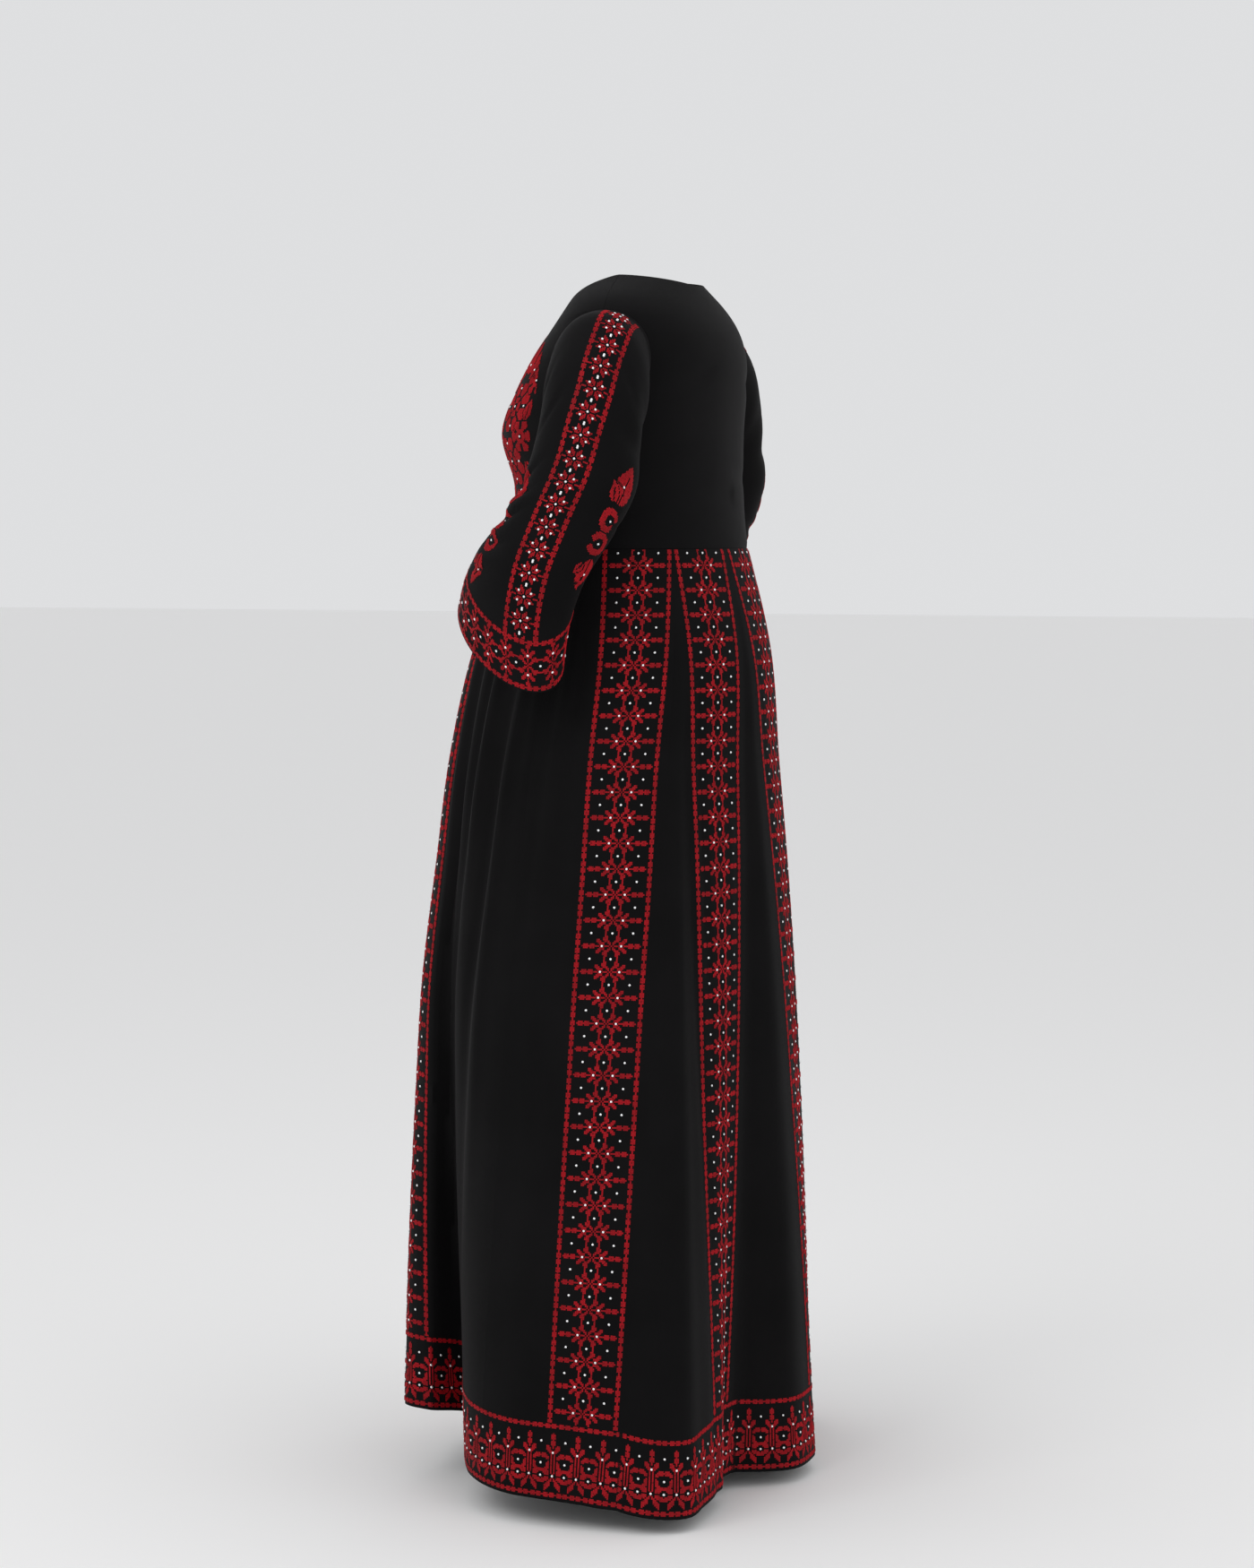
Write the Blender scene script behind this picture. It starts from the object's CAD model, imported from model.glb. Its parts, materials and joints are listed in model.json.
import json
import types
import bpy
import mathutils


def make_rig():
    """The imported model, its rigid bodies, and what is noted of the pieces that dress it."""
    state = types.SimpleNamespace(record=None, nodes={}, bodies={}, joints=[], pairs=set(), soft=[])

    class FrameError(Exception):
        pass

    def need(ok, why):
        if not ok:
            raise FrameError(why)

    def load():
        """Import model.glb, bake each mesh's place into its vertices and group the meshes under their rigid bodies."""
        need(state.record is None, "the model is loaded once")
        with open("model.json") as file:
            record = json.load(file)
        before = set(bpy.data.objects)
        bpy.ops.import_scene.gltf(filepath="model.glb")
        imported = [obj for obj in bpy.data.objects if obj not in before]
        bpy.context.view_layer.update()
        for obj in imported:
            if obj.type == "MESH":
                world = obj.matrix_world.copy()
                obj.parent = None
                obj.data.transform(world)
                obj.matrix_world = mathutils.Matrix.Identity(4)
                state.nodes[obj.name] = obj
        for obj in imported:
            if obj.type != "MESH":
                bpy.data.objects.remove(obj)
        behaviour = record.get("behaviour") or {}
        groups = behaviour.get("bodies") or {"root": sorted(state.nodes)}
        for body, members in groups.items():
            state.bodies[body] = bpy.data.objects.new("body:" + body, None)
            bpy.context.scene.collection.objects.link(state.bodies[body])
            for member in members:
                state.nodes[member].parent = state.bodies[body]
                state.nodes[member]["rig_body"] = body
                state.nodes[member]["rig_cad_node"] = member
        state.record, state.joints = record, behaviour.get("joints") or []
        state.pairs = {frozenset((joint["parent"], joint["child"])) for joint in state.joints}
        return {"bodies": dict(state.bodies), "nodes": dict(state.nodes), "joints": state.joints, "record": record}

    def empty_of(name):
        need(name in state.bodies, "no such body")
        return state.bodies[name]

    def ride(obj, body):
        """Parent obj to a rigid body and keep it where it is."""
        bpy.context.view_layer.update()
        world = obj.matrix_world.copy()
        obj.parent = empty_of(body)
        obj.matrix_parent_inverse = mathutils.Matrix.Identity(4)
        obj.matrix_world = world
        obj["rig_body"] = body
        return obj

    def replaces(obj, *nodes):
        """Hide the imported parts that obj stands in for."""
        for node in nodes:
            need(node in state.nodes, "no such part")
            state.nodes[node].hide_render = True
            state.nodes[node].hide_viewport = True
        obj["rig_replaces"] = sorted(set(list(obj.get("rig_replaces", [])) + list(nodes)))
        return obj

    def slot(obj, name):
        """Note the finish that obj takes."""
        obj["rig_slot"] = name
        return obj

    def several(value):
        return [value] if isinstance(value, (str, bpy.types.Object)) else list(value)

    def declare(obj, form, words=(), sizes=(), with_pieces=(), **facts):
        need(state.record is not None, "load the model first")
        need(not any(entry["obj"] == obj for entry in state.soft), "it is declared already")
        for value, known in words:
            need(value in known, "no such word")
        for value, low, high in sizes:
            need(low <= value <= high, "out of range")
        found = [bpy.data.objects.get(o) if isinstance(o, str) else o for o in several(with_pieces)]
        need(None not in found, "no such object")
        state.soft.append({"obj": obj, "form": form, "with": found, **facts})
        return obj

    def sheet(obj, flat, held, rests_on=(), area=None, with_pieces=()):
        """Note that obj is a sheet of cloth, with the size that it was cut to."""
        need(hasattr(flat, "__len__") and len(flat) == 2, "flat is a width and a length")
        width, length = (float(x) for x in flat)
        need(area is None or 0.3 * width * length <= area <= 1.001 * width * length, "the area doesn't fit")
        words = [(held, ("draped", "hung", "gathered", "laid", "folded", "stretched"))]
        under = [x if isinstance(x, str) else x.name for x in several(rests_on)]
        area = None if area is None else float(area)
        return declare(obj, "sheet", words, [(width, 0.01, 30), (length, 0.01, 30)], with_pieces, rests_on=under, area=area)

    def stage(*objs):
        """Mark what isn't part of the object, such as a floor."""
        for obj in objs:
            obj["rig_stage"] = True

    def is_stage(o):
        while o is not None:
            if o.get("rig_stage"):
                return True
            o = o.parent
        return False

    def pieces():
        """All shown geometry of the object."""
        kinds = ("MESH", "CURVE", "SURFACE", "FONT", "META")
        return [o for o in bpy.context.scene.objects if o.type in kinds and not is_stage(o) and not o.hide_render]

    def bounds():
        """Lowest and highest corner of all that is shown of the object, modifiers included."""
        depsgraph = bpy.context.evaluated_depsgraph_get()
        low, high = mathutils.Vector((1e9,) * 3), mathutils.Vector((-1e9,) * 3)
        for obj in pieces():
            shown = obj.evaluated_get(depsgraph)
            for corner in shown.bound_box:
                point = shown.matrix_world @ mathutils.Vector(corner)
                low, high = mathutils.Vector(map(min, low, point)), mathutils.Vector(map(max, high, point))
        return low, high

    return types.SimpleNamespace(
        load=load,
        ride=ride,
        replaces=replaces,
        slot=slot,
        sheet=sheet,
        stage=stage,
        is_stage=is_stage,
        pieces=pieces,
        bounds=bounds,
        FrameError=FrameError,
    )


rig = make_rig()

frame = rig.load()

import json
import math

import bpy
import numpy as np
from mathutils import Vector

cad_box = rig.bounds()

CLOTH = 0.0014
STITCH = 0.0018
STAR_PITCH = 0.0019
SEAM = 0.0003
PANEL_GAP = 0.00004
SEAM_PINCH = 0.0012
SEAM_PINCH_REACH = 0.0035

WAIST_Z = -0.317
HEM_Z = -1.386
HEM_BAND = 0.085
STRIP_HALF_WIDTH = 0.0405
STRIP_SPACE = 0.003

# Skirt sections, top to bottom: height, half width, half depth, middle along Y
SKIRT_SECTIONS = (
    (-0.317, 0.165, 0.135, -0.010),
    (-0.430, 0.197, 0.170, -0.018),
    (-0.567, 0.225, 0.190, -0.028),
    (-0.672, 0.245, 0.200, -0.030),
    (-0.830, 0.270, 0.213, -0.034),
    (-0.935, 0.285, 0.217, -0.034),
    (-1.146, 0.310, 0.223, -0.034),
    (-1.386, 0.330, 0.2255, -0.034),
)

# Skirt folds in order from the front middle by the wearer's left: angle at the waist in degrees,
# where that line of the cloth ends at the hem along X and Y, and the hem's height there
SKIRT_FOLDS = (
    (0.0, 0.000, -0.247, 0.064),
    (8.0, 0.076, -0.222, 0.064),
    (21.0, 0.172, -0.228, 0.074),
    (36.0, 0.182, -0.190, 0.071),
    (47.0, 0.130, -0.158, 0.058),
    (62.0, 0.205, -0.138, 0.034),
    (74.0, 0.266, -0.108, 0.024),
    (92.0, 0.309, -0.050, 0.018),
    (103.0, 0.321, 0.004, 0.017),
    (118.0, 0.322, 0.045, 0.015),
    (133.0, 0.317, 0.088, 0.011),
    (134.0, 0.312, 0.135, 0.004),
    (134.5, 0.288, 0.163, 0.002),
    (135.0, 0.245, 0.167, 0.005),
    (135.5, 0.196, 0.164, 0.008),
    (150.0, 0.155, 0.158, 0.008),
    (164.5, 0.115, 0.148, 0.007),
    (165.5, 0.090, 0.150, 0.006),
    (166.2, 0.068, 0.180, 0.004),
    (166.8, 0.040, 0.207, 0.003),
    (167.5, -0.012, 0.212, 0.003),
    (182.0, -0.055, 0.200, 0.004),
    (196.5, -0.096, 0.180, 0.007),
    (197.2, -0.124, 0.148, 0.015),
    (198.0, -0.150, 0.120, 0.016),
    (214.0, -0.198, 0.124, 0.012),
    (228.5, -0.240, 0.128, 0.008),
    (229.2, -0.286, 0.112, 0.004),
    (230.0, -0.312, 0.072, 0.006),
    (246.0, -0.322, 0.022, 0.016),
    (261.0, -0.318, -0.022, 0.018),
    (272.0, -0.302, -0.068, 0.020),
    (286.0, -0.262, -0.114, 0.026),
    (300.0, -0.200, -0.142, 0.040),
    (312.0, -0.146, -0.166, 0.058),
    (324.0, -0.164, -0.198, 0.062),
    (339.0, -0.174, -0.226, 0.064),
    (352.0, -0.076, -0.222, 0.064),
)
FOLD_GROWTH = 1.45

# Soft gathers under the waist seam: angle at the waist, half width in degrees, depth, lowest height
GATHERS = (
    (43.0, 4.6, 0.0075, -0.80),
    (54.0, 4.2, 0.0060, -0.72),
    (66.0, 5.0, 0.0090, -0.86),
    (78.0, 4.4, 0.0065, -0.76),
    (89.0, 4.4, 0.0075, -0.82),
    (272.0, 4.6, 0.0080, -0.80),
    (284.0, 4.6, 0.0065, -0.74),
    (296.0, 5.0, 0.0090, -0.84),
    (308.0, 4.2, 0.0070, -0.76),
    (318.0, 4.4, 0.0070, -0.78),
)

# Small creases laid on the skirt by hand: angle at the waist, share of the way down at its top and its
# foot, half width in degrees, depth (a ridge where it is below zero), lean in degrees
SKIRT_CREASES = (
    (3.0, 0.02, 0.60, 2.4, 0.0022, 1.5),
    (12.0, 0.10, 0.80, 1.8, -0.0016, -1.0),
    (33.0, 0.05, 0.55, 1.7, 0.0032, 2.0),
    (46.0, 0.06, 0.78, 1.9, 0.0046, -3.0),
    (56.0, 0.02, 0.70, 2.0, 0.0060, -5.0),
    (61.5, 0.02, 0.60, 1.7, -0.0032, -5.0),
    (72.0, 0.03, 1.00, 2.4, 0.0078, -11.0),
    (77.2, 0.05, 0.98, 2.3, -0.0052, -12.0),
    (86.0, 0.00, 0.42, 1.5, 0.0036, -3.0),
    (93.0, 0.02, 0.52, 1.6, -0.0024, -2.0),
    (95.0, 0.45, 0.98, 2.6, -0.0030, 2.0),
    (98.0, 0.05, 0.60, 1.9, 0.0026, 1.5),
    (104.0, 0.40, 0.95, 1.8, 0.0022, -1.0),
    (133.0, 0.06, 0.98, 1.7, 0.0034, 6.0),
    (129.0, 0.20, 0.92, 1.5, -0.0026, 5.0),
    (141.0, 0.10, 0.70, 1.2, 0.0024, 0.5),
    (158.0, 0.25, 0.85, 1.4, -0.0014, -0.5),
    (173.0, 0.08, 0.60, 1.2, 0.0016, 0.5),
    (190.0, 0.30, 0.90, 1.3, -0.0014, 0.5),
    (205.0, 0.12, 0.66, 1.2, 0.0015, -0.5),
    (222.0, 0.25, 0.85, 1.4, -0.0016, 0.5),
    (256.0, 0.05, 0.60, 1.8, 0.0018, -1.5),
    (265.0, 0.35, 0.95, 2.0, -0.0016, 1.0),
    (278.0, 0.00, 0.45, 1.5, 0.0024, 1.0),
    (290.0, 0.03, 0.60, 1.6, -0.0022, -1.0),
    (302.0, 0.00, 0.40, 1.5, 0.0024, 1.5),
    (303.0, 0.45, 0.95, 2.2, 0.0018, -2.0),
    (313.0, 0.05, 0.62, 1.6, -0.0020, -1.0),
    (326.0, 0.08, 0.66, 1.8, 0.0022, -1.5),
    (349.0, 0.05, 0.70, 1.9, -0.0018, 1.0),
)

# Embroidered strips: name, angle of the middle line at the waist, the panel it is worked on
STRIPS = (
    ("front_left", 21.0, "skirt_front"),
    ("side_left", 118.0, "skirt_left"),
    ("back_left", 150.0, "skirt_back"),
    ("back", 182.0, "skirt_back"),
    ("back_right", 214.0, "skirt_back"),
    ("side_right", 246.0, "skirt_right"),
    ("front_right", 339.0, "skirt_front"),
)
# Skirt panels: name, the strip before its first seam, that seam's share of the cloth up to the next strip,
# the strip before its last seam, and that share
SKIRT_PANELS = (
    ("skirt_left", 0, 10 / 14, 1, 2 / 7),
    ("skirt_back", 1, 2 / 7, 4, 3 / 5),
    ("skirt_right", 4, 3 / 5, 5, 4 / 14),
    ("skirt_front", 5, 4 / 14, 7, 10 / 14),
)
# Rows of the skirt's cloth under the waist seam, as shares of the way down, then even rows to the hem
SKIRT_TOP_ROWS = (0, 0.0016, 0.0036, 0.0062, 0.0095)
SKIRT_EVEN_START = 0.0145
SKIRT_EVEN_ROWS = 132
SKIRT_LINES = 2160
SKIRT_CELL = 0.0085

# Bodice sections, bottom to top: height, half width, depth in front, depth behind, squareness, middle
BODICE_SECTIONS = (
    (-0.3167, 0.165, 0.135, 0.135, 2.00, -0.010),
    (-0.280, 0.159, 0.128, 0.130, 2.10, -0.010),
    (-0.247, 0.157, 0.127, 0.128, 2.15, -0.010),
    (-0.180, 0.160, 0.146, 0.124, 2.20, -0.007),
    (-0.130, 0.164, 0.134, 0.116, 2.20, 0.003),
    (-0.095, 0.170, 0.121, 0.105, 2.15, 0.012),
    (-0.068, 0.173, 0.107, 0.091, 2.05, 0.018),
    (-0.048, 0.166, 0.094, 0.079, 2.00, 0.019),
    (-0.032, 0.146, 0.082, 0.071, 2.00, 0.016),
    (-0.018, 0.115, 0.071, 0.066, 2.00, 0.011),
    (-0.004, 0.080, 0.062, 0.062, 2.00, 0.006),
    (0.020, 0.060, 0.056, 0.058, 2.00, 0.004),
)
BODICE_FOOT_Z = -0.3167
ARMPIT_Z = -0.205
TIP_Z = -0.048
NECK_SIDE_Z = -0.004
NECK_FRONT_DIP = 0.058
NECK_BACK_DIP = 0.010
ARMHOLE_BITE = 23.0
ARMHOLE_EASE = 4
ARMHOLE_INSET = 0.06
NECK_CURVE = 1.5
# Side of the chest embroidery: height, plan angle from the front middle
CHEST_SIDES = (
    (-0.3167, 60.0),
    (-0.200, 60.0),
    (-0.130, 57.0),
    (-0.095, 54.0),
    (-0.060, 51.0),
    (-0.030, 53.0),
    (-0.004, 58.0),
)
# Creases of the bodice: plan angle, height, half width in degrees, half height, slope in metres a degree,
# depth
BODICE_CREASES = (
    (66.0, -0.285, 16.0, 0.0070, 0.00030, 0.0022),
    (74.0, -0.262, 12.0, 0.0060, -0.00045, 0.0020),
    (-64.0, -0.280, 15.0, 0.0070, 0.00035, 0.0021),
    (-75.0, -0.258, 12.0, 0.0060, -0.00040, 0.0019),
    (110.0, -0.275, 14.0, 0.0080, 0.00030, 0.0022),
    (-112.0, -0.270, 15.0, 0.0080, -0.00030, 0.0022),
    (128.0, -0.205, 13.0, 0.0100, 0.00060, 0.0024),
    (-126.0, -0.198, 12.0, 0.0100, -0.00060, 0.0024),
    (168.0, -0.255, 22.0, 0.0090, 0.00010, 0.0020),
    (-160.0, -0.235, 20.0, 0.0090, -0.00010, 0.0018),
    (142.0, -0.120, 12.0, 0.0110, 0.00080, 0.0020),
    (-140.0, -0.128, 12.0, 0.0110, -0.00080, 0.0020),
    (70.0, -0.165, 9.0, 0.0100, 0.00090, 0.0016),
    (-70.0, -0.160, 9.0, 0.0100, -0.00090, 0.0016),
)

# How the sleeve's lines wind round it: share of its length, turn in degrees
SLEEVE_TWIST = (
    (0.00, 0.0),
    (0.12, -3.0),
    (0.25, 3.0),
    (0.38, 13.0),
    (0.50, 16.0),
    (1.00, 16.0),
)
STAR_BAND_TURN = -22.2
STAR_BAND_START = 0.010
STAR_BAND_COLUMNS = 23
# Sleeve rings after the armhole: inner point X Y Z, outer point X Y Z, half reach fore and aft, rise in
# degrees of the front end
SLEEVE_RINGS = (
    (0.168, 0.020, -0.2065, 0.212, 0.024, -0.060, 0.0600, 0.0),
    (0.176, 0.022, -0.2150, 0.241, 0.024, -0.098, 0.0585, 0.0),
    (0.181, 0.022, -0.2350, 0.259, 0.023, -0.150, 0.0590, 0.0),
    (0.187, 0.016, -0.2650, 0.272, 0.016, -0.215, 0.0640, 3.0),
    (0.196, -0.010, -0.2960, 0.282, -0.006, -0.280, 0.0660, 11.0),
    (0.200, -0.045, -0.3220, 0.287, -0.030, -0.345, 0.0670, 17.0),
    (0.197, -0.071, -0.3450, 0.286, -0.042, -0.407, 0.0690, 20.0),
    (0.194, -0.088, -0.3660, 0.280, -0.045, -0.469, 0.0700, 21.0),
)
FRONT_END_INWARD = 0.10
SLEEVE_LENGTH = 0.36
SLEEVE_PINCH_DOWN = 0.0052
SLEEVE_SEAM_SHARE = 0.40
# Rows turned in at the armhole, deepest first: gap to the bodice's edge in seam widths, depth
TURNED_IN = (
    (1.1, 0.0070),
    (0.9, 0.0020),
)
CUFF_BAND = 0.058
# Creases of the sleeve: turn round the sleeve in degrees from its outer line, share of the sleeve's length,
# half width in turn, half width in share, depth, slope in share a degree
SLEEVE_CREASES = (
    (70.0, 0.50, 34.0, 0.035, 0.0065, 0.0),
    (82.0, 0.61, 30.0, 0.032, 0.0075, 0.0),
    (62.0, 0.70, 26.0, 0.030, 0.0050, 0.0),
    (-62.0, 0.33, 30.0, 0.040, 0.0050, 0.0),
    (52.0, 0.46, 22.0, 0.010, 0.0044, 0.0014),
    (48.0, 0.53, 20.0, 0.009, 0.0036, 0.0012),
    (50.0, 0.60, 24.0, 0.010, 0.0048, 0.0015),
    (44.0, 0.68, 20.0, 0.009, 0.0034, 0.0010),
    (60.0, 0.79, 22.0, 0.012, 0.0040, 0.0009),
    (34.0, 0.30, 18.0, 0.012, 0.0026, 0.0020),
    (62.0, 0.22, 20.0, 0.012, 0.0030, 0.0016),
    (60.0, 0.12, 16.0, 0.010, 0.0022, 0.0014),
    (98.0, 0.55, 20.0, 0.012, 0.0040, -0.0006),
    (106.0, 0.66, 22.0, 0.012, 0.0036, -0.0006),
    (-60.0, 0.45, 20.0, 0.014, 0.0030, -0.0010),
    (-84.0, 0.57, 22.0, 0.014, 0.0034, 0.0008),
    (-66.0, 0.74, 18.0, 0.012, 0.0026, -0.0008),
    (-56.0, 0.20, 16.0, 0.014, 0.0026, -0.0018),
    (150.0, 0.40, 26.0, 0.018, 0.0034, 0.0),
    (172.0, 0.56, 24.0, 0.016, 0.0030, 0.0),
)


def eased(before, slope, after, next_slope, span, t):
    """The curve between two values with these slopes, a share of the way along."""
    return (
        before * (2 * t**3 - 3 * t**2 + 1)
        + slope * span * (t**3 - 2 * t**2 + t)
        + after * (3 * t**2 - 2 * t**3)
        + next_slope * span * (t**3 - t**2)
    )


def smooth(table, column, at):
    """A smooth curve through one column of a table whose first column runs up or down."""
    rows = sorted(table)
    xs = np.array([row[0] for row in rows])
    ys = np.array([row[column] for row in rows])
    slopes = np.gradient(ys, xs)
    at = np.clip(at, xs[0], xs[-1])
    i = np.clip(np.searchsorted(xs, at) - 1, 0, len(xs) - 2)
    span = xs[i + 1] - xs[i]
    return eased(ys[i], slopes[i], ys[i + 1], slopes[i + 1], span, (at - xs[i]) / span)


def around(knots, values, at):
    """A smooth closed curve through values given at knots that go once round, 360 in all."""
    turn = [knots[-2] - 360, knots[-1] - 360, *knots, knots[0] + 360, knots[1] + 360]
    same = [values[-2], values[-1], *values, values[0], values[1]]
    return smooth(list(zip(turn, same)), 1, np.mod(at, 360.0))


def unit(v):
    """Vectors at length one."""
    return v / np.maximum(np.linalg.norm(v, axis=-1, keepdims=True), 1e-9)


def outward(points):
    """Unit normals of a grid of points, rows down the cloth and columns to the viewer's right."""
    return unit(np.cross(np.gradient(points, axis=0), np.gradient(points, axis=1)))


def run(points, axis):
    """Lengths along a grid's rows or columns, from its first point."""
    steps = np.linalg.norm(np.diff(points, axis=axis), axis=-1)
    start = np.zeros_like(np.take(steps, [0], axis=axis))
    return np.concatenate([start, np.cumsum(steps, axis=axis)], axis=axis)


def along_line(at, length, line):
    """Points of a line at these lengths along it."""
    return np.stack([np.interp(at, length, line[:, k]) for k in range(3)], axis=-1)


def aside_of(angle, centre):
    """Degrees from a centre to an angle, the short way round."""
    return np.mod(angle - centre + 180, 360) - 180


def fold_knots():
    """Where each fold's line stands round the cloth, out of 360, by its lengths at the waist and the hem."""
    half_width, half_depth = SKIRT_SECTIONS[0][1:3]
    steps = []
    for here, after in zip(SKIRT_FOLDS, SKIRT_FOLDS[1:] + SKIRT_FOLDS[:1]):
        turned = math.radians((after[0] - here[0]) % 360)
        steps.append(math.dist(here[1:3], after[1:3]) + turned * (half_width + half_depth) / 2)
    return list(np.concatenate([[0], np.cumsum(steps)[:-1]]) * 360 / sum(steps))


def fold_ends():
    """For each fold's line, how far it turns from waist to hem, and its reach on the hem's section."""
    half_width, half_depth, middle = SKIRT_SECTIONS[-1][1:]
    turns = []
    reaches = []
    for waist, x, y, _ in SKIRT_FOLDS:
        across, along = x / half_width, -(y - middle) / half_depth
        turn = math.degrees(math.atan2(across, along)) % 360
        turns.append(aside_of(turn, waist))
        reaches.append(math.hypot(across, along) - 1)
    return turns, reaches


FOLD_KNOTS = fold_knots()
FOLD_TURNS, FOLD_REACHES = fold_ends()
FOLD_LIFTS = [row[3] for row in SKIRT_FOLDS]
FOLD_WAISTS = [row[0] for row in SKIRT_FOLDS]


def waist_turn(place):
    """The angle at the waist of a line of the cloth."""
    return np.interp(place, FOLD_KNOTS + [360.0], FOLD_WAISTS + [360.0])


def skirt_drop(place):
    """The skirt's height from the waist seam to the hem at a line of the cloth."""
    return WAIST_Z - HEM_Z - around(FOLD_KNOTS, FOLD_LIFTS, place)


def skirt_surface(place, share):
    """The outside of the skirt: a line of cloth by its place out of 360, and a share of the way down."""
    z = WAIST_Z - share * skirt_drop(place)
    down = np.clip(share, 0.0, 1.0)
    angle = waist_turn(place)
    turn = np.radians(angle + around(FOLD_KNOTS, FOLD_TURNS, place) * down)
    reach = 1 + around(FOLD_KNOTS, FOLD_REACHES, place) * down**FOLD_GROWTH
    half_width, half_depth, middle = (smooth(SKIRT_SECTIONS, i, z) for i in (1, 2, 3))
    x, y = half_width * np.sin(turn), -half_depth * np.cos(turn)
    dent = 0
    for centre, width, depth, lowest in GATHERS:
        away = aside_of(angle, centre) / width
        fall = np.clip((WAIST_Z - z) / (WAIST_Z - lowest), 0, 1)
        dent = dent + depth * np.exp(-(away**2)) * np.sin(np.pi * fall**0.6) ** 1.2
    for centre, top, foot, width, depth, lean in SKIRT_CREASES:
        along = np.clip((down - top) / (foot - top), 0, 1)
        away = aside_of(angle, centre + lean * along) / (width * (1 + down))
        dent = dent + depth * np.exp(-(away**2)) * np.sin(np.pi * along**0.7)
    dent = dent + seam_pinch(WAIST_Z - z)
    reach = reach - dent / np.hypot(x, y)
    return np.stack([x * reach, middle + y * reach, z], axis=-1)


def seam_pinch(away):
    """How far the cloth is drawn in beside a seam, by the distance from it."""
    return SEAM_PINCH * np.exp(-((away / SEAM_PINCH_REACH) ** 2))


def bodice_surface(angle, z):
    """The outside of the bodice at a plan angle from the front middle and a height."""
    width, front, back, square, middle = (smooth(BODICE_SECTIONS, i, z) for i in range(1, 6))
    turn = np.radians(angle)
    depth = np.where(np.cos(turn) > 0, front, back)
    across, along = np.abs(np.sin(turn) / width), np.abs(np.cos(turn) / depth)
    reach = (across**square + along**square) ** (-1 / square)
    dent = seam_pinch(z - WAIST_Z)
    turned = aside_of(angle, 0)
    for centre, height, wide, tall, slope, deep in BODICE_CREASES:
        aside = turned - centre
        away = (z - height - slope * aside) / tall
        dent = dent + deep * np.exp(-(away**2) - (aside / wide) ** 2)
    reach = reach - dent
    return np.stack([reach * np.sin(turn), middle - reach * np.cos(turn), z + 0 * turn], axis=-1)


def armhole(turn, inset=0.0):
    """Angle and height on the bodice of a point of the left armhole, turned from the shoulder tip."""
    radians = np.radians(turn)
    half = (TIP_Z - ARMPIT_Z) / 2 * (1 - inset)
    return 90 - ARMHOLE_BITE * (1 - inset) * np.sin(radians), (TIP_Z + ARMPIT_Z) / 2 + half * np.cos(radians)


def sleeve_rings(turn):
    """Points of the sleeve's rings at the given turns: armhole first, mouth last."""
    start = bodice_surface(*armhole(turn))
    inside = bodice_surface(*armhole(turn, ARMHOLE_INSET))
    rings = [start + SEAM * SLEEVE_SEAM_SHARE * unit(inside - start)]
    radians = np.radians(turn)[..., None]
    for row in SLEEVE_RINGS:
        inner, outer = np.array(row[0:3]), np.array(row[3:6])
        tilt = math.radians(row[7])
        fore = row[6] * np.array([-FRONT_END_INWARD * math.sin(tilt) * 2, -math.cos(tilt), math.sin(tilt)])
        rings.append((inner + outer) / 2 + (outer - inner) / 2 * np.cos(radians) + fore * np.sin(radians))
    return rings


def sleeve_knots():
    """The share of the sleeve's length at each ring."""
    outer = [ring[0] for ring in sleeve_rings(np.array([0.0]))]
    inner = [ring[0] for ring in sleeve_rings(np.array([180.0]))]
    steps = [
        np.linalg.norm(b - a) + np.linalg.norm(d - c)
        for a, b, c, d in zip(outer, outer[1:], inner, inner[1:])
    ]
    return np.concatenate([[0], np.cumsum(steps)]) / sum(steps)


SLEEVE_KNOTS = sleeve_knots()


def sleeve_surface(turn, share):
    """The outside of the left sleeve: a turn from the outer line and a share of the way to the mouth."""
    turn, share = np.broadcast_arrays(turn, share)
    knots = SLEEVE_KNOTS
    i = np.clip(np.searchsorted(knots, share) - 1, 0, len(knots) - 2)
    span = (knots[i + 1] - knots[i])[..., None]
    t = share[..., None] / span - (knots[i] / (knots[i + 1] - knots[i]))[..., None]

    def pick(stack, at):
        flat = stack.reshape(len(knots), -1, 3)
        return flat[at.ravel(), np.arange(at.size)].reshape(*at.shape, 3)

    rings = np.stack(sleeve_rings(turn))
    slopes = np.gradient(rings, knots, axis=0)
    point = eased(pick(rings, i), pick(slopes, i), pick(rings, i + 1), pick(slopes, i + 1), span, t)
    ends = [np.stack(sleeve_rings(turn * 0 + side)) for side in (0.0, 180.0)]
    middle = sum(pick(end, i) * (1 - t) + pick(end, i + 1) * t for end in ends) / 2
    dent = seam_pinch(share * SLEEVE_LENGTH - SLEEVE_PINCH_DOWN)
    for centre, along, wide, length, depth, slope in SLEEVE_CREASES:
        aside = aside_of(turn, centre)
        away = (share - along - slope * aside) / length
        dent = dent + depth * np.exp(-((aside / wide) ** 2) - away**2)
    return point + unit(middle - point) * dent[..., None]


def twisted(turn, share):
    """The turn of a line of the sleeve, which winds forward from the shoulder to the elbow."""
    return turn + smooth(SLEEVE_TWIST, 1, share)


def skirt_rows(shares):
    """For each row: the closed line of points, its lengths, the strips' middles and their half widths."""
    place = np.linspace(0, 360, SKIRT_LINES + 1)
    rows = []
    for line in skirt_surface(place[None, :], shares[:, None]):
        length = run(line, 0)
        centres = np.interp([strip[1] for strip in STRIPS], waist_turn(place), length)
        free = np.diff(np.append(centres, centres[0] + length[-1]))
        half = np.minimum(STRIP_HALF_WIDTH, np.minimum(free, np.roll(free, 1)) / 2 - STRIP_SPACE / 2)
        rows.append((line, length, centres, half))
    return rows


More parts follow.
